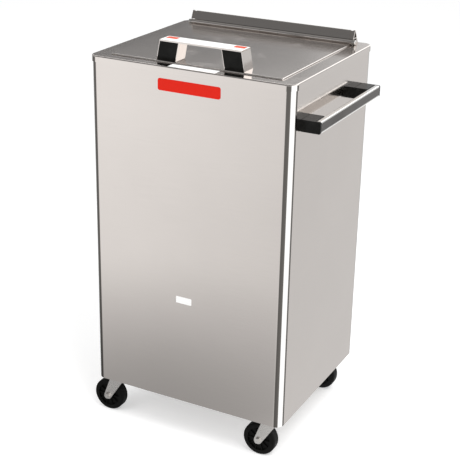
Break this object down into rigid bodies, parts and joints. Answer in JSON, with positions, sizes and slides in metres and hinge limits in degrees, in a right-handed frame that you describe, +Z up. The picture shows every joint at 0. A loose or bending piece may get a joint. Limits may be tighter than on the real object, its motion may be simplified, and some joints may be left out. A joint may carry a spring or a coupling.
{
  "type": "hot pack heater",
  "caption": "Mobile hot pack heater: upright stainless cabinet with rounded corners, hinged lid with handle, side push handle, inner water tank with pack rack and swivel casters.",
  "frame": {"origin": "on the floor, under the middle of the whole outline", "axes": "+Z up, -Y the front that a user faces, +X the side that carries the push handle"},
  "size_m": [0.5205, 0.4178, 0.875],
  "materials": {
    "brushed_stainless": "fine horizontal grain, bright",
    "polished_stainless": "bright, lightly brushed",
    "dull_steel": "mill finish",
    "zinc_steel": "zinc plated",
    "screw_steel": "bright",
    "black_moulding": "satin black",
    "caster_rubber": "matte black",
    "brass": "machined",
    "insulation": "mineral fibre",
    "white_moulding": "satin",
    "lead_sleeve": "satin"
  },
  "bodies": {
    "cabinet": {"outer_cabinet": "brushed_stainless", "base_pan": "dull_steel", "top_cap": "polished_stainless", "tank": "brushed_stainless", "tank_jacket": "insulation", "tank_bearers": "dull_steel", "hinge_cap_leaf": "polished_stainless", "hinge_rod": "screw_steel", "hinge_guard": "brushed_stainless", "hinge_rivets": "screw_steel", "side_handle_bar": "polished_stainless", "side_handle_brackets": "black_moulding", "side_handle_screws": "screw_steel", "caster_bolts": "zinc_steel", "heating_element": "dull_steel", "element_nuts": "brass", "element_collars": "brass", "element_shelf": "brushed_stainless", "thermostat_bulb": "brass", "bulb_nut": "brass", "thermostat_body": "black_moulding", "high_limit_switch": "black_moulding", "terminal_block": "white_moulding", "control_box": "dull_steel", "heater_leads": "lead_sleeve", "cord_gland": "black_moulding", "gland_nut": "black_moulding", "drain_pipe": "brass", "drain_nut": "brass", "valve_body": "brass", "drain_spout": "brass", "caster_plate_front_left": "zinc_steel", "caster_plate_front_right": "zinc_steel", "caster_plate_rear_left": "zinc_steel", "caster_plate_rear_right": "zinc_steel"},
    "lid": {"hinge_lid_leaf": "polished_stainless", "lid_skin": "brushed_stainless", "lid_pan": "brushed_stainless", "lid_insulation": "insulation", "lid_handle_strap": "polished_stainless", "lid_handle_cores": "black_moulding", "lid_handle_screws": "screw_steel"},
    "rack": {"rack_dividers": "polished_stainless", "rack_rails": "polished_stainless", "rack_grips": "polished_stainless"},
    "drain_handle": {"valve_stem": "brass", "drain_lever": "zinc_steel"},
    "thermostat_adjuster": {"thermostat_spindle": "screw_steel"},
    "caster_front_left": {"caster_fork_front_left": "zinc_steel", "caster_axle_front_left": "zinc_steel"},
    "wheel_front_left": {"caster_wheel_front_left": "caster_rubber"},
    "caster_front_right": {"caster_fork_front_right": "zinc_steel", "caster_axle_front_right": "zinc_steel"},
    "wheel_front_right": {"caster_wheel_front_right": "caster_rubber"},
    "caster_rear_left": {"caster_fork_rear_left": "zinc_steel", "caster_axle_rear_left": "zinc_steel"},
    "wheel_rear_left": {"caster_wheel_rear_left": "caster_rubber"},
    "caster_rear_right": {"caster_fork_rear_right": "zinc_steel", "caster_axle_rear_right": "zinc_steel"},
    "wheel_rear_right": {"caster_wheel_rear_right": "caster_rubber"}
  },
  "joints": [
    {"name": "lid_hinge", "type": "hinge", "parent": "cabinet", "child": "lid", "pos_m": [-0.00775, 0.1569, 0.8379], "axis": [-1, 0, 0], "range_deg": [0, 115]},
    {"name": "rack_lift", "type": "slide", "parent": "cabinet", "child": "rack", "axis": [0, 0, 1], "range_m": [0, 0.03]},
    {"name": "drain_turn", "type": "hinge", "parent": "cabinet", "child": "drain_handle", "pos_m": [0.05225, 0.1189, 0.0771], "axis": [0, 0, -1], "range_deg": [0, 90]},
    {"name": "thermostat_turn", "type": "hinge", "parent": "cabinet", "child": "thermostat_adjuster", "pos_m": [-0.03525, 0.0519, 0.095], "axis": [0, 0, -1], "range_deg": [0, 270]},
    {"name": "swivel_front_left", "type": "hinge", "parent": "cabinet", "child": "caster_front_left", "pos_m": [-0.19875, -0.1711, 0.0856], "axis": [0, 0, 1], "continuous": true},
    {"name": "roll_front_left", "type": "hinge", "parent": "caster_front_left", "child": "wheel_front_left", "pos_m": [-0.22275, -0.1711, 0.0375], "axis": [0, 1, 0], "continuous": true},
    {"name": "swivel_front_right", "type": "hinge", "parent": "cabinet", "child": "caster_front_right", "pos_m": [0.18325, -0.1711, 0.0856], "axis": [0, 0, 1], "continuous": true},
    {"name": "roll_front_right", "type": "hinge", "parent": "caster_front_right", "child": "wheel_front_right", "pos_m": [0.15925, -0.1711, 0.0375], "axis": [0, 1, 0], "continuous": true},
    {"name": "swivel_rear_left", "type": "hinge", "parent": "cabinet", "child": "caster_rear_left", "pos_m": [-0.19875, 0.1549, 0.0856], "axis": [0, 0, 1], "continuous": true},
    {"name": "roll_rear_left", "type": "hinge", "parent": "caster_rear_left", "child": "wheel_rear_left", "pos_m": [-0.22275, 0.1549, 0.0375], "axis": [0, 1, 0], "continuous": true},
    {"name": "swivel_rear_right", "type": "hinge", "parent": "cabinet", "child": "caster_rear_right", "pos_m": [0.18325, 0.1549, 0.0856], "axis": [0, 0, 1], "continuous": true},
    {"name": "roll_rear_right", "type": "hinge", "parent": "caster_rear_right", "child": "wheel_rear_right", "pos_m": [0.15925, 0.1549, 0.0375], "axis": [0, 1, 0], "continuous": true}
  ]
}
